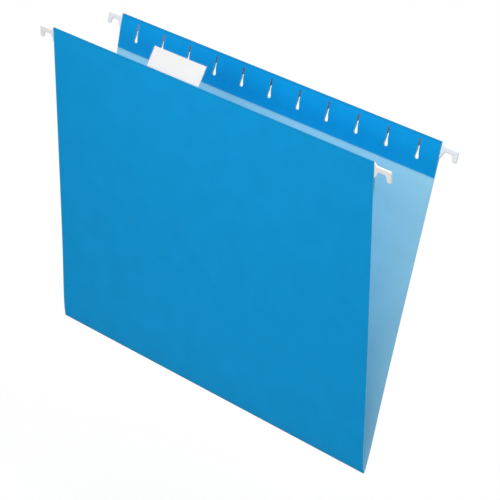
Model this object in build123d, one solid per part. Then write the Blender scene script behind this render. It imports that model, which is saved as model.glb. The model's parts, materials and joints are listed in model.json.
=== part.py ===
from build123d import *
import os
from math import atan2, cos, degrees, floor, radians, tan

# Letter-size hanging file folder, standing open in a V on its bottom fold.
# X runs along the fold, -Y is the front leaf's side, Z is up and the origin is under the fold.
# Each leaf is drawn flat in a frame of its own: X along the fold, Y up the leaf from the
# fold's axis, Z towards the inside of the folder. All lengths are in millimetres.

# Card sheet and its fold
leaf_width = 298.45
leaf_height = 234.95
card = 0.28
half_opening = 8.4
fold_clearance = 0.05

# Steel rod in the rolled top edge
rod_thickness = 0.8
rod_height = 8.0
rod_clearance = 0.05

# Teardrop slots of the hem
slot_pitch = 26.4
slot_top = 3.2
slot_length = 14.2
slot_width = 1.8
slot_neck = 8.0
bulb_width = 3.4
slot_end_margin = 16.0

# Hem below the slots, down to its glue line
slot_margin = 2.6
hem_ramp = 1.5
glue_height = 3.5
glue_thickness = 0.12
glue_margin = 2.0

# Hooks at the rod's ends, measured out from the card's edge and down from its top
hook_reach = 13.9
hook_lap = 6.0
arm_top = 2.5
arm_depth = 3.2
shoulder_run = 1.6
throat_inset = 3.4
throat_width = 6.6
tip_width = 2.8
tip_depth = 10.2
leg_depth = 10.6
leg_foot = 0.5
arch_radius = 2.6
nose_radius = 1.0
tip_radius = 0.8
leg_radius = 0.2

# Plastic dip coating of the hooks
coat = 0.3
coat_gap = 0.1
coat_edge = 0.15

# Index tab and its paper label
tab_width = 50.8
tab_length = 15.8
tab_wall = 0.45
tab_lean = 33.0
tab_offset = 32.5
tab_drop = 1.5
tab_corner = 0.4
foot_width = 44.0
foot_gap = 1.0
tongue_width = 1.3
tongue_tuck = 2.4
tongue_clearance = 0.08
label_thickness = 0.2
label_clearance = 0.08
label_inset = 0.8

# Sizes that follow from those above
overrun = leaf_height
fold_radius = card
rod_gap = rod_thickness + 2 * rod_clearance
roll_centre = leaf_height - rod_gap / 2 - card
rod_top = roll_centre + rod_thickness / 2
slot_bottom = slot_top + slot_length
hem_flat = slot_bottom + slot_margin
hem_depth = hem_flat + hem_ramp + glue_height
label_gap = label_thickness + 2 * label_clearance
sleeve_depth = label_gap + 2 * tab_wall

# Where each leaf stands
lean_up = Rot(90 - half_opening, 0, 0)
back_place = Pos(0, 0, fold_radius) * lean_up
front_place = Pos(0, 0, fold_radius) * Rot(0, 0, 180) * lean_up


def along_fold(section, width, centre=0):
    """Section drawn up the leaf and inwards, pulled out to a width along the fold."""
    return Pos(centre, 0, 0) * extrude(Plane.YZ * section, amount=width / 2, both=True)


def through_leaf(outline, low, high):
    """Outline drawn on the leaf's face, pulled out from one depth inwards to another."""
    return extrude(Pos(0, 0, low) * outline, amount=high - low)


def sheet_section(start):
    """One leaf and its hem: up the leaf, over the roll, down the flap and in to the glue line."""
    ramp_top = leaf_height - hem_flat
    ramp_end = ramp_top - hem_ramp
    hem_end = leaf_height - hem_depth
    mitre = card * tan(atan2(rod_gap - glue_thickness, hem_ramp) / 2)
    roll_inside = ThreePointArc(
        (roll_centre, 0),
        (roll_centre + rod_gap / 2, rod_gap / 2),
        (roll_centre, rod_gap),
    )
    flap = Polyline(
        (roll_centre, rod_gap),
        (ramp_top, rod_gap),
        (ramp_end, glue_thickness),
        (hem_end, glue_thickness),
        (hem_end, glue_thickness + card),
        (ramp_end - mitre, glue_thickness + card),
        (ramp_top - mitre, rod_gap + card),
        (roll_centre, rod_gap + card),
    )
    roll_outside = ThreePointArc(
        (roll_centre, rod_gap + card),
        (leaf_height, rod_gap / 2),
        (roll_centre, -card),
    )
    leaf = Polyline(
        (roll_centre, -card),
        (start, -card),
        (start, 0),
        (roll_centre, 0),
    )
    return make_face(roll_inside + flap + roll_outside + leaf)


def slot_outline():
    """Teardrop slot: a narrow neck that flares into a round bulb at its lower end."""
    neck_radius = slot_width / 2
    bulb_radius = bulb_width / 2
    neck_start = leaf_height - slot_top - neck_radius
    neck_end = leaf_height - slot_top - slot_neck
    bulb_centre = leaf_height - slot_bottom + bulb_radius
    flare_sine = (bulb_radius - neck_radius) / (neck_end - bulb_centre)
    flare_cosine = (1 - flare_sine**2) ** 0.5
    flare = Polygon(
        (-bulb_radius * flare_cosine, bulb_centre + bulb_radius * flare_sine),
        (bulb_radius * flare_cosine, bulb_centre + bulb_radius * flare_sine),
        (neck_radius * flare_cosine, neck_end + neck_radius * flare_sine),
        (-neck_radius * flare_cosine, neck_end + neck_radius * flare_sine),
        align=None,
    )
    neck = Pos(0, (neck_start + neck_end) / 2) * Rectangle(slot_width, neck_start - neck_end)
    ends = Pos(0, neck_start) * Circle(neck_radius) + Pos(0, bulb_centre) * Circle(bulb_radius)
    return neck + Pos(0, neck_end) * Circle(neck_radius) + flare + ends


def slot_row(one_slot, low, high):
    """Slot cutters in steps from one slot's place, as far along the hem as its ends leave room."""
    outline = slot_outline()
    room = leaf_width / 2 - slot_end_margin
    first = -floor((room + one_slot) / slot_pitch)
    last = floor((room - one_slot) / slot_pitch)
    return [
        Pos(one_slot + slot_pitch * step, 0, 0) * through_leaf(outline, low, high)
        for step in range(first, last + 1)
    ]


def front_panel():
    """Front leaf with the fold's round spine and slots in the inner layer of its hem."""
    section = sheet_section(0) + Circle(fold_radius)
    slots = slot_row(tab_offset - slot_pitch / 2, rod_gap / 2, rod_gap + 2 * card)
    return along_fold(section, leaf_width) - slots


def back_panel():
    """Back leaf, hinged on the fold's spine, with slots through both layers of its hem."""
    section = sheet_section(fold_radius + fold_clearance)
    slots = slot_row(0, -2 * card, rod_gap + 2 * card)
    return along_fold(section, leaf_width) - slots


def hook_outline():
    """Hook at the right-hand end: shoulder, arm, tip, arched throat and inner leg."""
    edge = leaf_width / 2
    leg_side = coat_gap + coat
    arm_bottom = arm_top + arm_depth
    outline = [
        ((-hook_lap, leaf_height - roll_centre), 0),
        ((leg_side, leaf_height - roll_centre), 0),
        ((leg_side + shoulder_run, arm_top), 0),
        ((hook_reach, arm_top), nose_radius),
        ((hook_reach, tip_depth), tip_radius),
        ((hook_reach - tip_width, tip_depth), tip_radius),
        ((throat_inset + throat_width, arm_bottom), arch_radius),
        ((throat_inset, arm_bottom), arch_radius),
        ((leg_side + leg_foot, leg_depth), leg_radius),
        ((leg_side, leg_depth), leg_radius),
        ((leg_side, leaf_height - rod_top + rod_height - rod_thickness), 0),
        ((-hook_lap, leaf_height - rod_top + rod_height - rod_thickness), 0),
    ]
    points = [(edge + out, leaf_height - down) for (out, down), _ in outline]
    return make_face(FilletPolyline(*points, radius=[corner for _, corner in outline], close=True))


def rod():
    """Flat steel strip with rounded edges, stamped into a hook at each end."""
    strip_centre = Pos(rod_top - rod_height / 2, rod_gap / 2)
    strip = along_fold(strip_centre * SlotOverall(rod_height, rod_thickness), leaf_width)
    hook = through_leaf(hook_outline(), rod_clearance, rod_clearance + rod_thickness)
    return strip + hook + mirror(hook, Plane.YZ)


def hook_coating():
    """Even plastic skin round the right-hand hook, open where the strip enters it."""
    skin = offset(hook_outline(), amount=coat)
    solid = through_leaf(skin, rod_clearance - coat, rod_clearance + rod_thickness + coat)
    rims = solid.edges().group_by(Axis.Z)
    solid = chamfer(rims[0] + rims[-1], length=coat_edge)
    inner_end = leaf_width / 2 + coat_gap
    beyond_card = Pos(inner_end, 0, 0) * Box(
        overrun, 2 * overrun, overrun, align=(Align.MIN, Align.CENTER, Align.CENTER)
    )
    return (solid & beyond_card) - rod()


def hem_adhesive():
    """Thin glue line between the leaf and the lower margin of its hem."""
    line = Box(leaf_width - 2 * glue_margin, glue_height, glue_thickness)
    middle = leaf_height - hem_depth + glue_height / 2
    return Pos(0, middle, glue_thickness / 2) * line


# Line of the tab's tongues, which slope through the slots to lie behind the hem's inner layer
tongue_tip = leaf_height - slot_bottom - tongue_tuck
tongue_tip_in = tongue_clearance + tab_wall / 2
tongue_slope = (rod_gap - 2 * tongue_clearance - tab_wall) / tongue_tuck
tongue_angle = degrees(atan2(tongue_slope, 1))
bend_up = leaf_height - tab_drop
bend_in = tongue_tip_in + (bend_up - tongue_tip) * tongue_slope
tab_bend = Pos(bend_up, bend_in)
tab_axis = tab_bend * Rot(0, 0, tab_lean) * Pos(-tab_wall / 2, tab_wall / 2 - sleeve_depth / 2)


def foot_section(lowest):
    """Tab's sheet below its bend, along the tongues' line down to a height on the leaf."""
    length = (bend_up - lowest) / cos(radians(tongue_angle))
    down = Rot(0, 0, tongue_angle) * Pos(-length / 2, 0)
    return tab_bend * (down * Rectangle(length, tab_wall) + Circle(tab_wall / 2))


def index_tab():
    """Clear tab: a flat sleeve open at both ends, on a foot with two tongues."""
    outside = RectangleRounded(tab_length, sleeve_depth, tab_corner)
    inside = Rectangle(tab_length - 2 * tab_wall, label_gap)
    sleeve = tab_axis * Pos(tab_length / 2, 0) * (outside - inside)
    crossing = (tab_wall + card + 2 * tongue_clearance) / tongue_slope
    foot_end = leaf_height - slot_bottom + crossing + foot_gap
    tab = along_fold(sleeve, tab_width, tab_offset)
    tab += along_fold(foot_section(foot_end), foot_width, tab_offset)
    for side in (-1, 1):
        centre = tab_offset + side * slot_pitch / 2
        tab += along_fold(foot_section(tongue_tip), tongue_width, centre)
    return tab


def label_insert():
    """Paper label that slides into the tab's sleeve from either end."""
    height = tab_length - 2 * tab_wall - 2 * label_clearance
    section = tab_axis * Pos(tab_length / 2, 0) * Rectangle(height, label_thickness)
    return along_fold(section, tab_width - 2 * label_inset, tab_offset)


right_coating = hook_coating()
left_coating = mirror(right_coating, Plane.YZ)
pieces = {
    "front_panel": front_place * front_panel(),
    "back_panel": back_place * back_panel(),
    "front_rod": front_place * rod(),
    "back_rod": back_place * rod(),
    "front_left_hook_coating": front_place * right_coating,
    "front_right_hook_coating": front_place * left_coating,
    "back_left_hook_coating": back_place * left_coating,
    "back_right_hook_coating": back_place * right_coating,
    "front_hem_adhesive": front_place * hem_adhesive(),
    "back_hem_adhesive": back_place * hem_adhesive(),
    "index_tab": front_place * index_tab(),
    "label_insert": front_place * label_insert(),
}

os.makedirs("parts", exist_ok=True)
for name, piece in pieces.items():
    export_step(piece, f"parts/{name}.step")
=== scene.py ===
import json
from math import cos, exp, floor, pi, radians, sin, tan

import bmesh
import bpy
from bpy.props import FloatProperty, FloatVectorProperty, IntProperty, PointerProperty
from mathutils import Matrix, Quaternion, Vector


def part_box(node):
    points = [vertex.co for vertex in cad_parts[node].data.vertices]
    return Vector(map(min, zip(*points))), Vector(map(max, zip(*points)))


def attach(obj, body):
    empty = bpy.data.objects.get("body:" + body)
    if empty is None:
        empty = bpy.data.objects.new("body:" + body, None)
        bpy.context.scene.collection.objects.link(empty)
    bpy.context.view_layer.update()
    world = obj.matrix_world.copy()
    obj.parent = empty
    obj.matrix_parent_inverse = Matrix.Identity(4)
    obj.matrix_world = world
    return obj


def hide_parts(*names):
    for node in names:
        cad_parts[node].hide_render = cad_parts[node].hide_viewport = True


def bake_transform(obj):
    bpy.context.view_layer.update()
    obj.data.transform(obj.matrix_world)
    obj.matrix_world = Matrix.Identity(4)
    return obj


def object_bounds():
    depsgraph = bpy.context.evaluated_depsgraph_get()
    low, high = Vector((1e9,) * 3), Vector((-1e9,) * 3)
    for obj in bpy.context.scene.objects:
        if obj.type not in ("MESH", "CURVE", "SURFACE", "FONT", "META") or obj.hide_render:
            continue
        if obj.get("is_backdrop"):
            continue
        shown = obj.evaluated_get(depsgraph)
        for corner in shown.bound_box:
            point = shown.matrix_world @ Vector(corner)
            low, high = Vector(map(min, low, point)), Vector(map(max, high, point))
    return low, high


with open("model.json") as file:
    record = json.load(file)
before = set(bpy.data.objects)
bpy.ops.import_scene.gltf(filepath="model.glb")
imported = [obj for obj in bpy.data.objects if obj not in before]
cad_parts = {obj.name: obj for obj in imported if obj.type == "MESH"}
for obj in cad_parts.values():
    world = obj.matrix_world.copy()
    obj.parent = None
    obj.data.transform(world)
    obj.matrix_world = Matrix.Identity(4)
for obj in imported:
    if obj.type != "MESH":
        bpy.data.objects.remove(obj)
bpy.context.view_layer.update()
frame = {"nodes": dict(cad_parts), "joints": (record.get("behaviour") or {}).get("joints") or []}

bl_info = {
    "name": "Hanging File Folder",
    "version": (1, 0, 0),
    "blender": (4, 5, 0),
    "location": "3D View > Sidebar > Folder",
    "description": "Dresses a letter-size hanging file folder in folded card, dipped hooks and a clear tab",
    "category": "Object",
}

MM = 0.001
panel_low, panel_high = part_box("front_panel")
fold_joint = next(joint for joint in frame["joints"] if joint["name"] == "fold")

# Points nearer to each other than this count as one
SAME_POINT = 0.001 * MM

# Angle between two faces past which their edge is drawn sharp
SHARP_ANGLE = radians(35)

# Sides of a round slot punch, and steps across the rim of a dipped hook
PUNCH_SIDES = 32
RIM_STEPS = 5

# Where nearly all values of a noise texture lie
NOISE_LOW, NOISE_HIGH = 0.3, 0.7

# Index at which one face of a clear sheet mirrors as much as both faces do
TWO_FACED_IOR = 1.75

# Faces of the card, as stored in its "ply" attribute
OUTSIDE, INSIDE, CUT_EDGE = 0.0, 1.0, 2.0


def length(name, description, millimetres):
    """A size in metres, with its default written in millimetres."""
    return FloatProperty(
        name=name, description=description, default=millimetres * MM, unit="LENGTH", precision=6
    )


def turn(name, description, in_degrees):
    """An angle in radians, with its default written in degrees."""
    return FloatProperty(name=name, description=description, default=radians(in_degrees), unit="ROTATION")


def share(name, description, value):
    """A share of a full amount."""
    return FloatProperty(name=name, description=description, default=value, subtype="FACTOR", min=0, max=1)


def tint(name, description, red, green, blue):
    """A linear colour."""
    return FloatVectorProperty(
        name=name, description=description, default=(red, green, blue), subtype="COLOR", min=0, max=1
    )


class CardSizes(bpy.types.PropertyGroup):
    """Sizes of the folded card sheet and of its hems."""

    width: length("Width", "Length of the fold", (panel_high.x - panel_low.x) / MM)
    height: length("Leaf height", "From the fold's axis to the top of the roll", 234.95)
    thickness: length("Thickness", "Of the card", 0.28)
    fold_axis: length("Fold axis", "Height of the fold's axis", fold_joint["pos_m"][2] / MM)
    half_opening: turn("Half opening", "Lean of each leaf at rest", 8.4)
    fold_radius: length("Fold radius", "Of the sheet's middle at the fold", 0.42)
    fold_flare: turn("Fold flare", "How much wider than its lean a leaf leaves the fold", 8.0)
    belly: length("Belly", "How far up the leaf its flare dies out", 17.0)
    rod_gap: length("Rod gap", "Between the leaf and its hem", 0.9)
    front_ease: length("Front ease", "From the top to where the front hem turns in to the leaf", 20.0)
    front_bend: length("Front bend", "Radius of the front hem's two bends", 1.2)
    back_ease: length("Back ease", "From the top to where the back hem turns in to the leaf", 12.0)
    back_bend: length("Back bend", "Radius of the back hem's two bends", 60.0)
    hem_glued: length("Hem glued", "From the top to where the hem lies on the glue", 21.5)
    hem_depth: length("Hem depth", "From the top to the hem's cut edge", 25.0)
    glue: length("Glue", "Thickness of the glue line", 0.12)
    row_step: length("Row step", "Longest face up the leaf", 4.0)
    columns: IntProperty(name="Columns", description="Faces along the fold", default=60)
    arc_steps: IntProperty(name="Arc steps", description="Faces round each bend", default=8)
    # The crease marks carry both the paler wear and the painted shade along the creases
    crease_reach: length("Crease reach", "How far up and down a crease marks the card", 1.6)


class SlotSizes(bpy.types.PropertyGroup):
    """Sizes of the teardrop slots, measured down from the top of the hem."""

    pitch: length("Pitch", "From slot to slot", 26.4)
    end_margin: length("End margin", "Least room from a slot to the card's end", 16.0)
    tab_offset: length("Tab offset", "From the middle to the middle of the tab", 32.5)
    top: length("Top", "Upper end of the neck", 3.2)
    neck_width: length("Neck width", "Of the narrow part", 1.8)
    neck_length: length("Neck length", "From the upper end to the flare", 8.0)
    bulb_width: length("Bulb width", "Of the round end", 3.4)
    full_length: length("Length", "Of the whole slot", 14.2)
    punch_past: length("Punch past", "How far the punch passes through the card", 0.4)


class HookSizes(bpy.types.PropertyGroup):
    """Sizes of a dipped hook, measured out from the card's edge and down from its top."""

    edge: length("Edge", "Start of the steel inside the dip", 0.4)
    shoulder: length("Shoulder", "Run of the sloped shoulder", 1.6)
    shoulder_top: length("Shoulder top", "Top of the shoulder", 0.73)
    reach: length("Reach", "End of the arm", 13.9)
    arm_top: length("Arm top", "Top of the arm", 2.5)
    arm_bottom: length("Arm bottom", "Top of the throat", 5.7)
    throat_inset: length("Throat inset", "Inner side of the throat", 3.4)
    throat_width: length("Throat width", "Of the throat at its top", 6.6)
    tip_width: length("Tip width", "Of the tip's end", 2.8)
    tip_depth: length("Tip depth", "Lower end of the tip", 10.2)
    leg_foot: length("Leg foot", "Width of the inner leg's end", 0.5)
    leg_depth: length("Leg depth", "Lower end of the inner leg", 10.6)
    arch_radius: length("Arch radius", "Corners of the throat", 2.6)
    nose_radius: length("Nose radius", "Outer corner of the arm", 1.0)
    tip_radius: length("Tip radius", "Corners of the tip", 0.8)
    leg_radius: length("Leg radius", "Corners of the leg", 0.2)
    steel: length("Steel", "Thickness of the hook's steel", 0.8)
    dip: length("Dip", "Thickness of the dipped skin", 0.3)
    round_over: length("Round over", "Rounding of the skin's rims", 0.52)


class FolderColours(bpy.types.PropertyGroup):
    """Colours of the folder's materials."""

    outside: tint("Card outside", "Dyed outer face of the card", 0.002, 0.34, 0.745)
    inside: tint("Card inside", "Paler inner face of the card", 0.39, 0.755, 0.94)
    cut_edge: tint("Card cut edge", "Core of the card", 0.36, 0.66, 0.84)
    steel: tint("Steel", "Rods", 0.28, 0.285, 0.29)
    dip: tint("Dip", "Plastic skin of the hooks", 0.90, 0.90, 0.895)
    clear: tint("Clear plastic", "Index tab", 0.985, 0.99, 0.99)
    label: tint("Label paper", "Insert of the tab", 0.86, 0.845, 0.85)
    glue: tint("Glue", "Glue lines of the hems", 0.80, 0.76, 0.66)


class StageSettings(bpy.types.PropertyGroup):
    """Camera, lights and floor."""

    lens: FloatProperty(name="Lens", description="Focal length", default=160.71, unit="CAMERA")
    sensor: FloatProperty(name="Sensor", description="Width of the sensor", default=36.0, unit="CAMERA")
    camera_place: FloatVectorProperty(
        name="Camera place", description="Where the camera stands", subtype="TRANSLATION",
        default=(0.9490, -1.0637, 0.7183),
    )
    azimuth: turn("Azimuth", "Camera's turn round the folder", 40.95)
    elevation: turn("Elevation", "Camera's downward tilt", 23.06)
    roll: turn("Roll", "Camera's turn about its own line of sight", 6.50)
    ambient: share("Ambient", "Strength of the light from all round", 0.62)
    key_turn: turn("Key turn", "Front light's turn round the folder", 0.0)
    key_height: turn("Key height", "Front light's angle above the fold", 28.0)
    key_distance: length("Key distance", "From the folder's middle", 420.0)
    key_size: length("Key size", "Side of the front light", 300.0)
    key_level: share("Key level", "Share of full light from the front", 0.27)
    side_turn: turn("Side turn", "Side light's turn round the folder", 60.0)
    side_height: turn("Side height", "Side light's angle above the fold", 45.0)
    side_distance: length("Side distance", "From the folder's middle", 900.0)
    side_size: length("Side size", "Side of the side light", 300.0)
    side_level: share("Side level", "Share of full light from the side", 0.12)
    top_turn: turn("Top turn", "Top light's turn round the folder", 0.0)
    top_height: turn("Top height", "Top light's angle above the fold", 82.0)
    top_distance: length("Top distance", "From the folder's middle", 800.0)
    top_size: length("Top size", "Side of the top light", 500.0)
    top_level: share("Top level", "Share of full light from the top", 0.42)
    back_turn: turn("Back turn", "Back light's turn round the folder", 205.0)
    back_height: turn("Back height", "Back light's angle above the fold", 40.0)
    back_distance: length("Back distance", "From the folder's middle", 1200.0)
    back_size: length("Back size", "Side of the back light", 700.0)
    back_level: share("Back level", "Share of full light from the back", 0.2)
    floor_side: length("Floor side", "Side of the floor", 40000.0)
    floor_drop: length("Floor drop", "From the fold down to the floor, with room for a leaf to hang", 260.0)
    floor_grey: share("Floor grey", "Share of light the floor returns", 0.55)
    floor_seen: share("Floor seen", "How much of its shadows the floor shows", 0.8)
    floor_glow: share("Floor glow", "Makes the floor white to the eye", 0.07)
    floor_reach: length("Floor reach", "How far from below the fold the floor shows shadows", 500.0)


def leaf_place(card, front):
    """Matrix from a leaf's frame, along the fold, up the leaf and inwards, to the folder's frame."""
    lean = Matrix.Rotation(pi / 2 - card.half_opening, 4, "X")
    about = Matrix.Rotation(pi if front else 0, 4, "Z")
    return Matrix.Translation((0, 0, card.fold_axis)) @ about @ lean


def rounded_path(corners, arc_steps):
    """Points of straight runs joined by arcs, from corners given as (point, radius)."""
    points = [Vector(corners[0][0])]
    for (before, _), (corner, radius), (after, _) in zip(corners, corners[1:], corners[2:]):
        corner = Vector(corner)
        back = (Vector(before) - corner).normalized()
        ahead = (Vector(after) - corner).normalized()
        half = back.angle(ahead) / 2
        centre = corner + (back + ahead).normalized() * radius / sin(half)
        spoke = corner + back * radius / tan(half) - centre
        sweep = (pi - 2 * half) * (1 if ahead.cross(back) > 0 else -1)
        for step in range(arc_steps + 1):
            points.append(centre + Matrix.Rotation(sweep * step / arc_steps, 2) @ spoke)
    points.append(Vector(corners[-1][0]))
    kept = points[:1]
    for point in points[1:]:
        if (point - kept[-1]).length > SAME_POINT:
            kept.append(point)
    return kept


def stepped(points, longest):
    """The same points, with more between them where they lie further apart than the longest step."""
    filled = points[:1]
    for point in points[1:]:
        last = filled[-1].copy()
        count = max(1, round((point - last).length / longest))
        filled += [last.lerp(point, step / count) for step in range(1, count + 1)]
    return filled


def fold_end(card):
    """Where the fold's arc ends on a leaf: how far up the leaf, and how far outside its middle plane."""
    lean = card.half_opening + card.fold_flare
    across = card.fold_radius * cos(lean)
    up = card.thickness / 2 + card.fold_radius * (1 - sin(lean)) - card.fold_axis
    along = across * sin(card.half_opening) + up * cos(card.half_opening)
    outside = across * cos(card.half_opening) - up * sin(card.half_opening) - card.thickness / 2
    return along, outside


def leaf_path(card, front):
    """Middle of the sheet up one leaf, over its roll and down its hem, as points (up the leaf, inwards)."""
    half = card.thickness / 2
    start, offset = fold_end(card)
    slope = tan(card.fold_flare) + offset / card.belly
    roll = card.rod_gap / 2 + half
    flap, glued = card.rod_gap + half, card.glue + half
    ease, bend = (card.front_ease, card.front_bend) if front else (card.back_ease, card.back_bend)
    corners = [
        ((start, -half), 0),
        ((card.height - half, -half), roll),
        ((card.height - half, flap), roll),
        ((card.height - ease, flap), bend),
        ((card.height - card.hem_glued, glued), bend),
        ((card.height - card.hem_depth, glued), 0),
    ]
    points = stepped(rounded_path(corners, card.arc_steps), card.row_step)
    for point in points:
        run = point.x - start
        point.y -= (offset + slope * run) * exp(-run / card.belly)
    return points


def sheet_path(card):
    """Middle of the whole sheet, from the front hem's cut edge to the back one's, as points (y, z)."""
    sides = []
    for front in (True, False):
        place = leaf_place(card, front)
        sides.append([(place @ Vector((0, *point))).yz for point in leaf_path(card, front)])
    lean = card.half_opening + card.fold_flare
    centre = Vector((0, card.thickness / 2 + card.fold_radius))
    steps = 2 * card.arc_steps
    arc = []
    for step in range(1, steps):
        angle = (step / steps * 2 - 1) * (pi / 2 - lean)
        arc.append(centre + card.fold_radius * Vector((sin(angle), -cos(angle))))
    return sides[0][::-1] + arc + sides[1]


def is_crease(card, point):
    """True on the fold's arc and on the upper half of a roll."""
    top = card.fold_axis + (card.height - card.rod_gap / 2) * cos(card.half_opening)
    return point.y < card.fold_radius or point.y > top


def sheet_mesh(card):
    """Closed mesh of the folded sheet, before its slots are punched, with a flat "blank" UV map."""
    path = sheet_path(card)
    last = len(path) - 1
    runs = [0]
    for before, point in zip(path, path[1:]):
        runs.append(runs[-1] + (point - before).length)
    half = card.thickness / 2
    columns = card.columns + 1
    across = [card.width * (column / card.columns - 0.5) for column in range(columns)]
    vertices = []
    for side in (half, -half):
        for row, point in enumerate(path):
            along = (path[min(row + 1, last)] - path[max(row - 1, 0)]).normalized()
            shifted = point + side * Vector((along.y, -along.x))
            vertices += [(x, *shifted) for x in across]
    rows = len(path)
    inner = rows * columns

    def corner(row, column, side):
        return side * inner + row * columns + column

    faces, ply = [], []
    for row in range(last):
        for column in range(card.columns):
            ring = [(row, column), (row + 1, column), (row + 1, column + 1), (row, column + 1)]
            faces.append([corner(*place, 0) for place in ring])
            faces.append([corner(*place, 1) for place in reversed(ring)])
            ply += [OUTSIDE, INSIDE]
    rim = [(row, 0) for row in range(rows)]
    rim += [(last, column) for column in range(1, columns)]
    rim += [(row, columns - 1) for row in range(last - 1, -1, -1)]
    rim += [(0, column) for column in range(columns - 2, 0, -1)]
    for here, after in zip(rim, rim[1:] + rim[:1]):
        faces.append([corner(*after, 0), corner(*here, 0), corner(*here, 1), corner(*after, 1)])
        ply.append(CUT_EDGE)
    mesh = bpy.data.meshes.new("folded_card")
    mesh.from_pydata(vertices, [], faces)
    mesh.attributes.new("ply", "FLOAT", "FACE").data.foreach_set("value", ply)
    # Crease marks, 1 at a crease and fading to 0 over the crease reach, drive both paler wear and painted
    # shade in the card's material
    creases = [run for run, point in zip(runs, path) if is_crease(card, point)]
    marks = [max(0, 1 - min(abs(run - crease) for crease in creases) / card.crease_reach) for run in runs]
    vertex_marks = [marks[index % inner // columns] for index in range(2 * inner)]
    mesh.attributes.new("crease", "FLOAT", "POINT").data.foreach_set("value", vertex_marks)
    blank = mesh.uv_layers.new(name="blank")
    for loop in mesh.loops:
        row, column = divmod(loop.vertex_index % inner, columns)
        blank.data[loop.index].uv = (across[column], runs[row])
    return mesh


def named_nodes(tree):
    """A short way to add a node to a tree, with its inputs as values or links, and its options."""

    def add(kind, inputs=(), **options):
        node = tree.nodes.new(kind)
        for option, value in options.items():
            setattr(node, option, value)
        for socket, value in dict(inputs).items():
            if isinstance(value, bpy.types.NodeSocket):
                tree.links.new(value, node.inputs[socket])
            else:
                node.inputs[socket].default_value = value
        return node

    return add


def slot_tree(material):
    """Geometry Nodes tree that punches a row of teardrop slots through a hem."""
    tree = bpy.data.node_groups.new("hem_slots", "GeometryNodeTree")
    new_socket = tree.interface.new_socket
    new_socket("Geometry", in_out="INPUT", socket_type="NodeSocketGeometry")
    for name in (
        "First Slot", "Pitch", "Neck Radius", "Bulb Radius", "Neck Top", "Neck End", "Bulb Centre",
        "Punch Low", "Punch High",
    ):
        new_socket(name, in_out="INPUT", socket_type="NodeSocketFloat")
    new_socket("Slots", in_out="INPUT", socket_type="NodeSocketInt")
    new_socket("Row Place", in_out="INPUT", socket_type="NodeSocketVector")
    new_socket("Row Turn", in_out="INPUT", socket_type="NodeSocketVector")
    new_socket("Geometry", in_out="OUTPUT", socket_type="NodeSocketGeometry")
    add = named_nodes(tree)
    given = add("NodeGroupInput").outputs
    low, high = given["Punch Low"], given["Punch High"]
    depth = add("ShaderNodeMath", {0: high, 1: low}, operation="SUBTRACT").outputs[0]
    total = add("ShaderNodeMath", {0: high, 1: low}, operation="ADD").outputs[0]
    middle = add("ShaderNodeMath", {0: total, 1: 0.5}, operation="MULTIPLY").outputs[0]

    def round_punch(radius, height):
        pin = add("GeometryNodeMeshCylinder", {"Vertices": PUNCH_SIDES, "Radius": radius, "Depth": depth})
        place = add("ShaderNodeCombineXYZ", {"Y": height, "Z": middle}).outputs[0]
        moved = {"Geometry": pin.outputs["Mesh"], "Translation": place}
        return add("GeometryNodeTransform", moved).outputs[0]

    def between(first, second):
        pair = add("GeometryNodeJoinGeometry")
        tree.links.new(first, pair.inputs[0])
        tree.links.new(second, pair.inputs[0])
        return add("GeometryNodeConvexHull", {0: pair.outputs[0]}).outputs[0]

    upper = round_punch(given["Neck Radius"], given["Neck Top"])
    waist = round_punch(given["Neck Radius"], given["Neck End"])
    bulb = round_punch(given["Bulb Radius"], given["Bulb Centre"])
    first = add("ShaderNodeCombineXYZ", {"X": given["First Slot"]}).outputs[0]
    step = add("ShaderNodeCombineXYZ", {"X": given["Pitch"]}).outputs[0]
    row = add("GeometryNodeMeshLine", {"Count": given["Slots"], "Start Location": first, "Offset": step})
    sheet = {"Mesh 1": given["Geometry"]}
    punch = add("GeometryNodeMeshBoolean", sheet, operation="DIFFERENCE", solver="EXACT")
    for shape in (between(upper, waist), between(waist, bulb)):
        copies = add("GeometryNodeInstanceOnPoints", {"Points": row.outputs[0], "Instance": shape})
        solid = add("GeometryNodeRealizeInstances", {0: copies.outputs[0]})
        marked = add(
            "GeometryNodeStoreNamedAttribute",
            {"Geometry": solid.outputs[0], "Name": "ply", "Value": CUT_EDGE},
            data_type="FLOAT", domain="FACE",
        )
        row_place = {"Translation": given["Row Place"], "Rotation": given["Row Turn"]}
        placed = add("GeometryNodeTransform", {"Geometry": marked.outputs[0], **row_place})
        tree.links.new(placed.outputs[0], punch.inputs["Mesh 2"])
    whole = add("GeometryNodeRealizeInstances", {0: punch.outputs[0]})
    finished = add("GeometryNodeSetMaterial", {"Geometry": whole.outputs[0], "Material": material})
    add("NodeGroupOutput", {"Geometry": finished.outputs[0]})
    return tree


def set_tree_inputs(modifier, values):
    """Sets a Geometry Nodes modifier's inputs by their names."""
    for item in modifier.node_group.interface.items_tree:
        if item.in_out == "INPUT" and item.name in values:
            modifier[item.identifier] = values[item.name]


def new_piece(name, mesh):
    """An object for a mesh, at the origin."""
    piece = bpy.data.objects.new(name, mesh)
    bpy.context.scene.collection.objects.link(piece)
    return piece


def plain_mesh(piece):
    """The piece's mesh as its modifiers or its curve make it, as a mesh of its own."""
    bpy.context.view_layer.update()
    seen = piece.evaluated_get(bpy.context.evaluated_depsgraph_get())
    return bpy.data.meshes.new_from_object(seen)


def settle(piece):
    """Replaces the piece's mesh by what its modifiers make of it, and removes them."""
    mesh = plain_mesh(piece)
    piece.modifiers.clear()
    piece.data = mesh
    mesh.name = piece.name


def smooth_shading(mesh):
    """Smooth faces, with sharp edges where faces meet steeply."""
    mesh.shade_smooth()
    mesh.set_sharp_from_angle(angle=SHARP_ANGLE)


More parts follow.
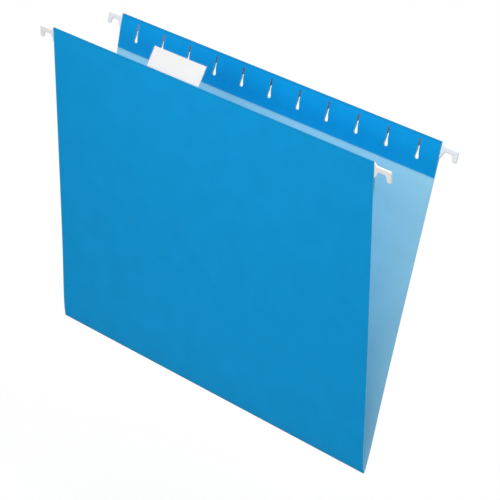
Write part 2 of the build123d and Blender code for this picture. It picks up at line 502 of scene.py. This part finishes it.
def tidy_solid(mesh):
    """Merges a closed mesh's doubles and turns its faces outwards."""
    work = bmesh.new()
    work.from_mesh(mesh)
    bmesh.ops.remove_doubles(work, verts=work.verts, dist=SAME_POINT)
    bmesh.ops.recalc_face_normals(work, faces=work.faces)
    work.to_mesh(mesh)
    work.free()
    smooth_shading(mesh)


def new_material(name):
    """A node material with a Principled shader, and the way to add nodes to it."""
    material = bpy.data.materials.new(name)
    material.use_nodes = True
    add = named_nodes(material.node_tree)
    shader = material.node_tree.nodes["Principled BSDF"]
    return material, add, shader, material.node_tree.links.new


def spread(add, noise, low, high):
    """A noise's values, spread from low to high."""
    ends = {"From Min": NOISE_LOW, "From Max": NOISE_HIGH, "To Min": low, "To Max": high}
    return add("ShaderNodeMapRange", {"Value": noise, **ends}).outputs[0]


def card_material(colours):
    """Dyed card: darker outside, paler inside and at its cut edges, with fibres, paler wear and painted
    shade along its creases.
    """
    material, add, shader, link = new_material("card_stock")
    outside, inside, cut_edge = (*colours.outside, 1), (*colours.inside, 1), (*colours.cut_edge, 1)
    in_millimetres, long_fibres = (1 / MM, 1 / MM, 1), (0.5, 2.2, 1)
    blank = add("ShaderNodeUVMap", uv_map="blank").outputs[0]
    flat = add("ShaderNodeMapping", {"Vector": blank, "Scale": in_millimetres}).outputs[0]
    grain = add("ShaderNodeMapping", {"Vector": flat, "Scale": long_fibres}).outputs[0]
    cloud = add("ShaderNodeTexNoise", {"Vector": flat, "Scale": 0.05, "Detail": 4}).outputs[0]
    fibres = {"Vector": grain, "Scale": 1.4, "Detail": 5, "Roughness": 0.6}
    fibre = add("ShaderNodeTexNoise", fibres).outputs[0]
    clouded = spread(add, cloud, low=0.97, high=1.03)
    streaked = spread(add, fibre, low=0.95, high=1.05)
    mottle = add("ShaderNodeMath", {0: clouded, 1: streaked}, operation="MULTIPLY").outputs[0]

    # Painted shade: the card is darkened along the creases of the fold and the rolls, down to 0.65 of its
    # colour at a crease; the same marks also give a faint paler wear
    crease = add("ShaderNodeAttribute", attribute_name="crease").outputs["Fac"]
    painted_shade_range = {"From Min": 0.6, "From Max": 1.0, "To Min": 1.0, "To Max": 0.65}
    painted_crease_shade = add("ShaderNodeMapRange", {"Value": crease, **painted_shade_range}).outputs[0]
    # Random mottle times the painted shade along the creases
    shade = add("ShaderNodeMath", {0: mottle, 1: painted_crease_shade}, operation="MULTIPLY").outputs[0]
    worn = add("ShaderNodeMath", {0: crease, 1: fibre}, operation="MULTIPLY").outputs[0]
    fading = {"From Min": 0.35, "From Max": 0.8, "To Min": 0.0, "To Max": 0.05}
    wear = add("ShaderNodeMapRange", {"Value": worn, **fading}).outputs[0]

    def mixed(factor, first, second):
        colours_in = {"Factor": factor, "A": first, "B": second}
        return add("ShaderNodeMix", colours_in, data_type="RGBA").outputs["Result"]

    ply = add("ShaderNodeAttribute", attribute_name="ply").outputs["Fac"]
    beyond = add("ShaderNodeMath", {0: ply, 1: INSIDE}, operation="SUBTRACT", use_clamp=True).outputs[0]
    faces = mixed(beyond, mixed(ply, outside, inside), cut_edge)
    aged = mixed(wear, faces, inside)
    mottled = add("ShaderNodeVectorMath", {0: aged, "Scale": shade}, operation="SCALE").outputs[0]
    bump = add("ShaderNodeBump", {"Height": fibre, "Strength": 0.25, "Distance": 0.04 * MM}).outputs[0]
    link(mottled, shader.inputs["Base Color"])
    link(spread(add, fibre, low=0.58, high=0.72), shader.inputs["Roughness"])
    link(bump, shader.inputs["Normal"])
    shader.inputs["Specular IOR Level"].default_value = 0.08
    return material


def uneven_finish(name, colour, noise_scale, noise_detail, tones, roughness, stretch=None, relief=None):
    """A finish whose tone, roughness and relief follow one noise over the piece, and its shader."""
    material, add, shader, link = new_material(name)
    place = add("ShaderNodeTexCoord").outputs["Object"]
    if stretch:
        place = add("ShaderNodeMapping", {"Vector": place, "Scale": stretch}).outputs[0]
    grains = {"Vector": place, "Scale": noise_scale, "Detail": noise_detail}
    noise = add("ShaderNodeTexNoise", grains).outputs[0]
    shade = spread(add, noise, *tones)
    toned = add("ShaderNodeVectorMath", {0: colour, "Scale": shade}, operation="SCALE").outputs[0]
    link(toned, shader.inputs["Base Color"])
    link(spread(add, noise, *roughness), shader.inputs["Roughness"])
    if relief:
        strength, depth = relief
        bump = add("ShaderNodeBump", {"Height": noise, "Strength": strength, "Distance": depth})
        link(bump.outputs[0], shader.inputs["Normal"])
    return material, shader


def steel_material(colours):
    """Rolled steel strip with fine lines along it."""
    material, shader = uneven_finish(
        "rolled_steel", colours.steel, stretch=(60, 6000, 6000), noise_scale=1, noise_detail=3,
        tones=(0.85, 1.1), roughness=(0.28, 0.45),
    )
    shader.inputs["Metallic"].default_value = 1.0
    return material


def dip_material(colours):
    """White dipped plastic with a faintly uneven skin."""
    return uneven_finish(
        "dipped_plastic", colours.dip, noise_scale=900, noise_detail=2,
        tones=(0.97, 1.02), roughness=(0.3, 0.42), relief=(0.15, 0.05 * MM),
    )[0]


def clear_material(colours):
    """Clear glossy plastic sheet, too thin to bend what is seen through it."""
    material, add, shader, link = new_material("clear_plastic")
    material.node_tree.nodes.remove(shader)
    place = add("ShaderNodeTexCoord").outputs["Object"]
    wave = add("ShaderNodeTexNoise", {"Vector": place, "Scale": 160, "Detail": 2}).outputs[0]
    rough = spread(add, wave, low=0.06, high=0.14)
    bump = add("ShaderNodeBump", {"Height": wave, "Strength": 0.1, "Distance": 0.05 * MM}).outputs[0]
    gloss = add("ShaderNodeBsdfGlossy", {"Roughness": rough, "Normal": bump}).outputs[0]
    through = add("ShaderNodeBsdfTransparent", {"Color": (*colours.clear, 1)}).outputs[0]
    mirrored = add("ShaderNodeFresnel", {"IOR": TWO_FACED_IOR, "Normal": bump}).outputs[0]
    inner_side = add("ShaderNodeNewGeometry").outputs["Backfacing"]
    outer_side = add("ShaderNodeMath", {0: 1.0, 1: inner_side}, operation="SUBTRACT").outputs[0]
    mirror_share = add("ShaderNodeMath", {0: mirrored, 1: outer_side}, operation="MULTIPLY").outputs[0]
    sheet = add("ShaderNodeMixShader", {0: mirror_share, 1: through, 2: gloss}).outputs[0]
    link(sheet, material.node_tree.nodes["Material Output"].inputs["Surface"])
    return material


def label_material(colours):
    """White writing paper."""
    return uneven_finish(
        "label_paper", colours.label, noise_scale=2200, noise_detail=4,
        tones=(0.97, 1.02), roughness=(0.7, 0.85), relief=(0.2, 0.03 * MM),
    )[0]


def glue_material(colours):
    """Dried glue, a little uneven."""
    return uneven_finish(
        "dried_glue", colours.glue, noise_scale=300, noise_detail=3,
        tones=(0.85, 1.05), roughness=(0.35, 0.55),
    )[0]


def finish_node(name, material):
    """Gives a CAD node a finish in place of its own."""
    mesh = frame["nodes"][name].data
    mesh.materials.clear()
    mesh.materials.append(material)


def slot_row(card, slots, front):
    """The slot tree's inputs for one hem: the front row is cut for the tab, in the inner layer only."""
    one_slot = slots.tab_offset - slots.pitch / 2 if front else 0
    room = card.width / 2 - slots.end_margin
    before = floor((room + one_slot) / slots.pitch)
    after = floor((room - one_slot) / slots.pitch)
    neck_radius, bulb_radius = slots.neck_width / 2, slots.bulb_width / 2
    neck_top = card.height - slots.top
    return {
        "Slots": before + after + 1,
        "First Slot": one_slot - slots.pitch * before,
        "Pitch": slots.pitch,
        "Neck Radius": neck_radius,
        "Bulb Radius": bulb_radius,
        "Neck Top": neck_top - neck_radius,
        "Neck End": neck_top - slots.neck_length,
        "Bulb Centre": neck_top - slots.full_length + bulb_radius,
        "Punch Low": card.rod_gap / 2 if front else -card.thickness - slots.punch_past,
        "Punch High": card.rod_gap + card.thickness + slots.punch_past,
        "Row Place": (0, 0, card.fold_axis),
        "Row Turn": (pi / 2 - card.half_opening, 0, pi if front else 0),
    }


class FOLDER_OT_card(bpy.types.Operator):
    """Folds the card sheet, rolls its hems and punches their slots"""

    bl_idname = "folder.card"
    bl_label = "Folded Card"

    def execute(self, context):
        scene = context.scene
        card, slots = scene.folder_card, scene.folder_slots
        material = card_material(scene.folder_colours)
        piece = new_piece("folded_card", sheet_mesh(card))
        tree = slot_tree(material)
        for name, front in (("front_slots", True), ("back_slots", False)):
            modifier = piece.modifiers.new(name, "NODES")
            modifier.node_group = tree
            set_tree_inputs(modifier, slot_row(card, slots, front))
        settle(piece)
        smooth_shading(piece.data)
        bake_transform(piece)
        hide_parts("front_panel", "back_panel")
        return {"FINISHED"}


class FOLDER_OT_rods(bpy.types.Operator):
    """Gives the steel rods their finish"""

    bl_idname = "folder.rods"
    bl_label = "Steel Rods"

    def execute(self, context):
        material = steel_material(context.scene.folder_colours)
        for name in ("front_rod", "back_rod"):
            finish_node(name, material)
        return {"FINISHED"}


def hook_curve(card, hook):
    """Flat outline of one dipped hook, thickened and rounded, in the frame of a leaf."""
    corners = [
        ((hook.edge, hook.shoulder_top), 0),
        ((hook.edge + hook.shoulder, hook.arm_top), 0),
        ((hook.reach, hook.arm_top), hook.nose_radius),
        ((hook.reach, hook.tip_depth), hook.tip_radius),
        ((hook.reach - hook.tip_width, hook.tip_depth), hook.tip_radius),
        ((hook.throat_inset + hook.throat_width, hook.arm_bottom), hook.arch_radius),
        ((hook.throat_inset, hook.arm_bottom), hook.arch_radius),
        ((hook.edge + hook.leg_foot, hook.leg_depth), hook.leg_radius),
        ((hook.edge, hook.leg_depth), hook.leg_radius),
        ((hook.edge, hook.shoulder_top), 0),
    ]
    outline = rounded_path(corners, card.arc_steps)[:-1]
    curve = bpy.data.curves.new("hook_outline", "CURVE")
    curve.dimensions = "2D"
    curve.fill_mode = "BOTH"
    curve.extrude = hook.steel / 2 + hook.dip - hook.round_over
    curve.bevel_depth = hook.round_over
    curve.bevel_resolution = RIM_STEPS
    curve.offset = hook.dip - hook.round_over
    spline = curve.splines.new("POLY")
    spline.points.add(len(outline) - 1)
    for point, (out, down) in zip(spline.points, outline):
        point.co = (card.width / 2 + out, card.height - down, 0, 1)
    spline.use_cyclic_u = True
    return curve


class FOLDER_OT_hooks(bpy.types.Operator):
    """Dips the four hooks in white plastic"""

    bl_idname = "folder.hooks"
    bl_label = "Dipped Hooks"

    def execute(self, context):
        scene = context.scene
        card, hook = scene.folder_card, scene.folder_hooks
        material = dip_material(scene.folder_colours)
        drawn = new_piece("hook_outline", hook_curve(card, hook))
        shape = plain_mesh(drawn)
        bpy.data.objects.remove(drawn)
        for body, front in (("front", True), ("back", False)):
            for end, left in (("left", True), ("right", False)):
                mesh = shape.copy()
                outward = -1 if front != left else 1
                middle = Matrix.Translation((0, 0, card.rod_gap / 2))
                mirrored = Matrix.Diagonal((outward, 1, 1, 1))
                mesh.transform(leaf_place(card, front) @ middle @ mirrored)
                tidy_solid(mesh)
                mesh.materials.clear()
                mesh.materials.append(material)
                piece = new_piece(f"{body}_{end}_hook_dip", mesh)
                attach(piece, body)
                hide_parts(f"{body}_{end}_hook_coating")
        return {"FINISHED"}


class FOLDER_OT_tab(bpy.types.Operator):
    """Gives the clear index tab its finish"""

    bl_idname = "folder.tab"
    bl_label = "Index Tab"

    def execute(self, context):
        finish_node("index_tab", clear_material(context.scene.folder_colours))
        return {"FINISHED"}


class FOLDER_OT_label(bpy.types.Operator):
    """Gives the paper label its finish"""

    bl_idname = "folder.label"
    bl_label = "Paper Label"

    def execute(self, context):
        finish_node("label_insert", label_material(context.scene.folder_colours))
        return {"FINISHED"}


class FOLDER_OT_glue(bpy.types.Operator):
    """Gives the glue lines of the hems their finish"""

    bl_idname = "folder.glue"
    bl_label = "Glue Lines"

    def execute(self, context):
        material = glue_material(context.scene.folder_colours)
        for name in ("front_hem_adhesive", "back_hem_adhesive"):
            finish_node(name, material)
        return {"FINISHED"}


def white_to_camera(add, dim, white):
    """One shader for light and another for what the camera, mirrors and glass see."""
    path = add("ShaderNodeLightPath").outputs
    seen = path["Is Camera Ray"]
    for name in ("Is Glossy Ray", "Is Transmission Ray"):
        seen = add("ShaderNodeMath", {0: seen, 1: path[name]}, operation="MAXIMUM").outputs[0]
    first_bounce = 0.5
    before_it = {0: path["Diffuse Depth"], 1: first_bounce}
    direct = add("ShaderNodeMath", before_it, operation="LESS_THAN").outputs[0]
    seen = add("ShaderNodeMath", {0: seen, 1: direct}, operation="MULTIPLY").outputs[0]
    return add("ShaderNodeMixShader", {0: seen, 1: dim, 2: white}).outputs[0]


def studio_world(stage):
    """Even light from all round, with a white background."""
    world = bpy.data.worlds.new("studio")
    world.use_nodes = True
    bpy.context.scene.world = world
    tree = world.node_tree
    tree.nodes.clear()
    add = named_nodes(tree)
    white = (1, 1, 1, 1)
    dim = add("ShaderNodeBackground", {"Color": white, "Strength": stage.ambient}).outputs[0]
    bright = add("ShaderNodeBackground", {"Color": white, "Strength": 1.0}).outputs[0]
    add("ShaderNodeOutputWorld", {"Surface": white_to_camera(add, dim, bright)})


def studio_floor(stage):
    """Pale floor that keeps the folder's shadow."""
    half, low = stage.floor_side / 2, -stage.floor_drop
    corners = [(-half, -half, low), (half, -half, low), (half, half, low), (-half, half, low)]
    mesh = bpy.data.meshes.new("floor")
    mesh.from_pydata(corners, [], [(0, 1, 2, 3)])
    floor_piece = new_piece("floor", mesh)
    material, add, shader, link = new_material("floor_paper")
    material.node_tree.nodes.remove(shader)
    grey = add("ShaderNodeBsdfDiffuse", {"Color": (stage.floor_grey,) * 3 + (1,)}).outputs[0]
    white = add("ShaderNodeBsdfDiffuse", {"Color": (1, 1, 1, 1)}).outputs[0]
    glow = add("ShaderNodeEmission", {"Strength": stage.floor_glow}).outputs[0]
    lit = add("ShaderNodeAddShader", {0: white, 1: glow}).outputs[0]
    through = add("ShaderNodeBsdfTransparent").outputs[0]
    place = add("ShaderNodeSeparateXYZ", {0: add("ShaderNodeTexCoord").outputs["Object"]}).outputs
    along = add("ShaderNodeMath", {0: place["X"]}, operation="ABSOLUTE").outputs[0]
    half_fold = (panel_high.x - panel_low.x) / 2
    past = add("ShaderNodeMath", {0: along, 1: half_fold}, operation="SUBTRACT", use_clamp=True).outputs[0]
    from_fold = add("ShaderNodeCombineXYZ", {"X": past, "Y": place["Y"]}).outputs[0]
    away = add("ShaderNodeVectorMath", {0: from_fold}, operation="LENGTH").outputs["Value"]
    ends = {"From Min": 0, "From Max": stage.floor_reach, "To Min": stage.floor_seen, "To Max": 0}
    faded = add("ShaderNodeMapRange", {"Value": away, **ends}, interpolation_type="SMOOTHSTEP").outputs[0]
    half_seen = add("ShaderNodeMixShader", {0: faded, 1: through, 2: lit}).outputs[0]
    surface = material.node_tree.nodes["Material Output"].inputs["Surface"]
    link(white_to_camera(add, grey, half_seen), surface)
    mesh.materials.append(material)
    floor_piece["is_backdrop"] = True


def direction(azimuth, elevation):
    """Unit vector towards a place round the folder, from the front and to the right, and up."""
    level = cos(elevation)
    return Vector((sin(azimuth) * level, -cos(azimuth) * level, sin(elevation)))


def soft_light(name, azimuth, elevation, distance, size, level):
    """Square soft light that lights a surface facing it to a share of the surface's full colour."""
    low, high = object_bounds()
    lamp = bpy.data.lights.new(name, "AREA")
    lamp.shape = "SQUARE"
    lamp.size = size
    lamp.energy = level * (pi * distance) ** 2
    light = bpy.data.objects.new(name, lamp)
    towards = direction(azimuth, elevation)
    light.location = (low + high) / 2 + towards * distance
    light.rotation_euler = towards.to_track_quat("Z", "Y").to_euler()
    bpy.context.scene.collection.objects.link(light)


def studio_camera(stage):
    """Camera at the photograph's viewing angle."""
    camera = bpy.data.cameras.new("camera")
    camera.lens = stage.lens
    camera.sensor_width = stage.sensor
    holder = bpy.data.objects.new("camera", camera)
    back = direction(stage.azimuth, stage.elevation)
    holder.location = stage.camera_place
    holder.rotation_mode = "QUATERNION"
    holder.rotation_quaternion = (-back).to_track_quat("-Z", "Y") @ Quaternion((0, 0, 1), stage.roll)
    bpy.context.scene.collection.objects.link(holder)
    bpy.context.scene.camera = holder


class FOLDER_OT_stage(bpy.types.Operator):
    """Sets the floor, the lights and the camera"""

    bl_idname = "folder.stage"
    bl_label = "Stage"

    def execute(self, context):
        scene = context.scene
        stage = scene.folder_stage
        scene.view_settings.view_transform = "Standard"
        studio_world(stage)
        studio_floor(stage)
        parts = ("turn", "height", "distance", "size", "level")
        for name in ("key", "side", "top", "back"):
            soft_light(name, *(getattr(stage, f"{name}_{part}") for part in parts))
        studio_camera(stage)
        return {"FINISHED"}


class FOLDER_PT_pieces(bpy.types.Panel):
    """Lists the folder's sizes, colours and pieces"""

    bl_idname = "FOLDER_PT_pieces"
    bl_label = "Hanging File Folder"
    bl_space_type = "VIEW_3D"
    bl_region_type = "UI"
    bl_category = "Folder"

    def draw(self, context):
        for operator in OPERATORS:
            self.layout.operator(operator.bl_idname)
        for name, group in GROUPS.items():
            box = self.layout.box()
            box.label(text=group.__doc__)
            for prop in group.__annotations__:
                box.prop(getattr(context.scene, name), prop)


GROUPS = {
    "folder_card": CardSizes,
    "folder_slots": SlotSizes,
    "folder_hooks": HookSizes,
    "folder_colours": FolderColours,
    "folder_stage": StageSettings,
}
OPERATORS = (
    FOLDER_OT_card,
    FOLDER_OT_rods,
    FOLDER_OT_hooks,
    FOLDER_OT_tab,
    FOLDER_OT_label,
    FOLDER_OT_glue,
    FOLDER_OT_stage,
)


def register():
    for group in GROUPS.values():
        bpy.utils.register_class(group)
    for name, group in GROUPS.items():
        setattr(bpy.types.Scene, name, PointerProperty(type=group))
    for operator in OPERATORS:
        bpy.utils.register_class(operator)
    bpy.utils.register_class(FOLDER_PT_pieces)


def unregister():
    bpy.utils.unregister_class(FOLDER_PT_pieces)
    for operator in reversed(OPERATORS):
        bpy.utils.unregister_class(operator)
    for name, group in GROUPS.items():
        delattr(bpy.types.Scene, name)
        bpy.utils.unregister_class(group)


def main():
    register()
    bpy.ops.folder.card()
    bpy.ops.folder.rods()
    bpy.ops.folder.hooks()
    bpy.ops.folder.tab()
    bpy.ops.folder.label()
    bpy.ops.folder.glue()
    bpy.ops.folder.stage()


if __name__ == "__main__":
    main()
